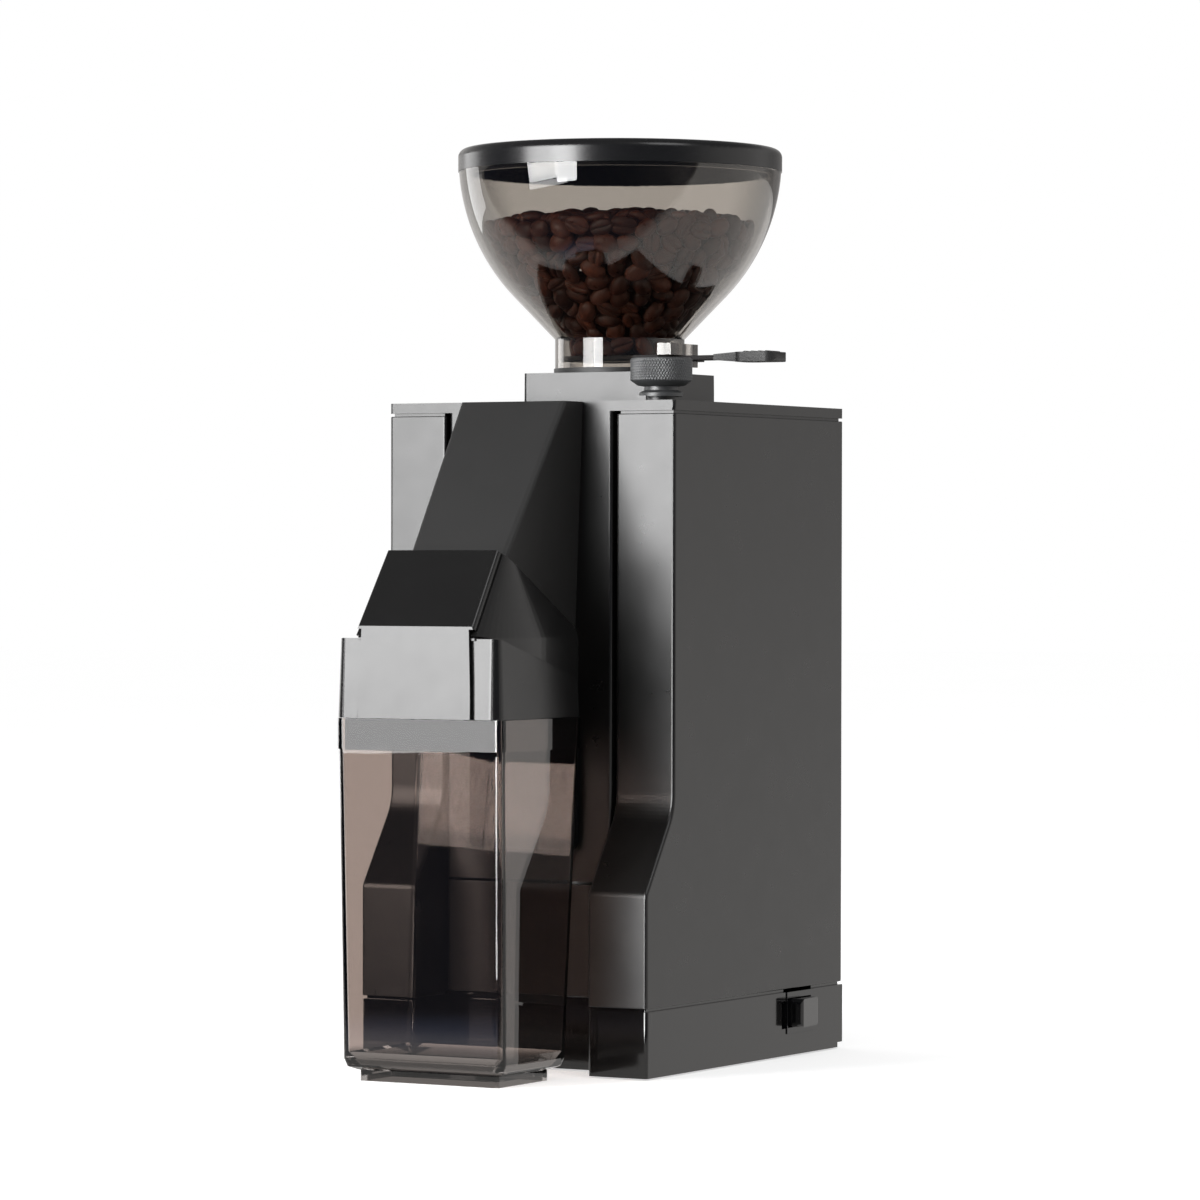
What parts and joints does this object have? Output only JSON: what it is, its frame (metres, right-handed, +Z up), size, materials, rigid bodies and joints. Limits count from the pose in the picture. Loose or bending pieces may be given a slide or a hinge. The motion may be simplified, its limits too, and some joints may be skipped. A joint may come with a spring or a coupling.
{
  "type": "burr coffee grinder",
  "caption": "Upright electric flat-burr coffee grinder with a smoked bean hopper, sloping spout and lift-out grounds container.",
  "frame": {"origin": "on the table plane, under the common axis of hopper, burrs and motor", "axes": "+Z up, front (spout and container) towards -Y, gate lever, adjuster and power switch towards +X"},
  "size_m": [0.1285, 0.2157, 0.3381],
  "materials": {
    "paint": "satin dark anthracite",
    "base_gloss": "gloss black",
    "zinc": "zinc plated",
    "rubber": "matte black",
    "moulded": "satin black",
    "gloss_moulded": "gloss black",
    "smoke": "clear smoked",
    "cast": "as cast",
    "burr": "ground hardened",
    "core": "laminated",
    "copper": "enamelled copper wire",
    "bearing": "polished",
    "brass": "machined",
    "knob": "dark anodised, knurled",
    "lever": "satin",
    "terminal": "matte white"
  },
  "bodies": {
    "body": {"base": "base_gloss", "bottom_plate": "base_gloss", "rubber_feet": "rubber", "left_side_panel": "paint", "right_side_panel": "paint", "rear_panel": "paint", "top_cover": "paint", "lower_front_plate": "paint", "hopper_collar": "paint", "spout": "moulded", "outlet_duct": "moulded", "clump_flap": "rubber", "grinding_housing": "cast", "upper_burr_carrier": "cast", "upper_burr": "burr", "upper_burr_screws": "zinc", "motor_posts": "zinc", "motor_upper_bell": "cast", "stator_core": "core", "stator_windings": "copper", "motor_lower_bell": "cast", "motor_bolts": "zinc", "spindle_bush": "brass", "knob_pointer": "paint", "capacitor": "cast", "capacitor_clip": "zinc", "terminal_block": "terminal", "cord_gland": "rubber", "bottom_screws": "zinc", "switch_housing": "gloss_moulded", "start_guide": "moulded", "start_microswitch": "moulded"},
    "burr_lift": {"bearing_sleeve": "burr", "lift_yoke": "cast", "upper_bearing": "bearing", "lower_bearing": "bearing"},
    "rotor": {"motor_shaft": "zinc", "rotor_core": "core", "lower_burr_carrier": "cast", "lower_burr": "burr", "lower_burr_screws": "zinc", "cooling_fan": "moulded"},
    "adjuster": {"adjust_knob": "knob", "adjust_spindle": "zinc"},
    "power_rocker": {"power_rocker": "gloss_moulded"},
    "start_button": {"start_button": "gloss_moulded"},
    "hopper": {"hopper": "smoke", "hopper_ring": "rubber", "gate_guide": "smoke"},
    "gate": {"gate_blade": "lever", "gate_grip": "rubber"},
    "lid": {"hopper_lid": "moulded"},
    "container": {"grounds_container": "smoke", "container_cap": "moulded", "cap_sleeve": "gloss_moulded"}
  },
  "joints": [
    {"name": "knob_turn", "type": "hinge", "parent": "body", "child": "adjuster", "pos_m": [0.04, -0.04, 0.25], "axis": [0, 0, 1], "range_deg": [-240.5, 480.5]},
    {"name": "burr_lift", "type": "slide", "parent": "body", "child": "burr_lift", "axis": [0, 0, 1], "range_m": [-0.001, 0.0005]},
    {"name": "rotor_spin", "type": "hinge", "parent": "burr_lift", "child": "rotor", "pos_m": [0, 0, 0.15], "axis": [0, 0, 1], "continuous": true},
    {"name": "rocker_tilt", "type": "hinge", "parent": "body", "child": "power_rocker", "pos_m": [0.0575, 0.0305, 0.01645], "axis": [0, 0, 1], "range_deg": [-10.2, 0]},
    {"name": "start_press", "type": "slide", "parent": "body", "child": "start_button", "axis": [0, 1, 0], "range_m": [0, 0.0018], "stiffness_N_per_m": 1500, "springref_m": -0.0005},
    {"name": "hopper_lift", "type": "slide", "parent": "body", "child": "hopper", "axis": [0, 0, 1], "range_m": [0, 0.05]},
    {"name": "gate_slide", "type": "slide", "parent": "hopper", "child": "gate", "axis": [1, 0, 0], "range_m": [0, 0.041]},
    {"name": "lid_lift", "type": "slide", "parent": "hopper", "child": "lid", "axis": [0, 0, 1], "range_m": [0, 0.04]},
    {"name": "container_slide", "type": "slide", "parent": "body", "child": "container", "axis": [0, -1, 0], "range_m": [0, 0.09]}
  ],
  "couplings": [
    {"joint": "knob_turn", "follows": "burr_lift", "rad_per_m": -8377.6}
  ]
}
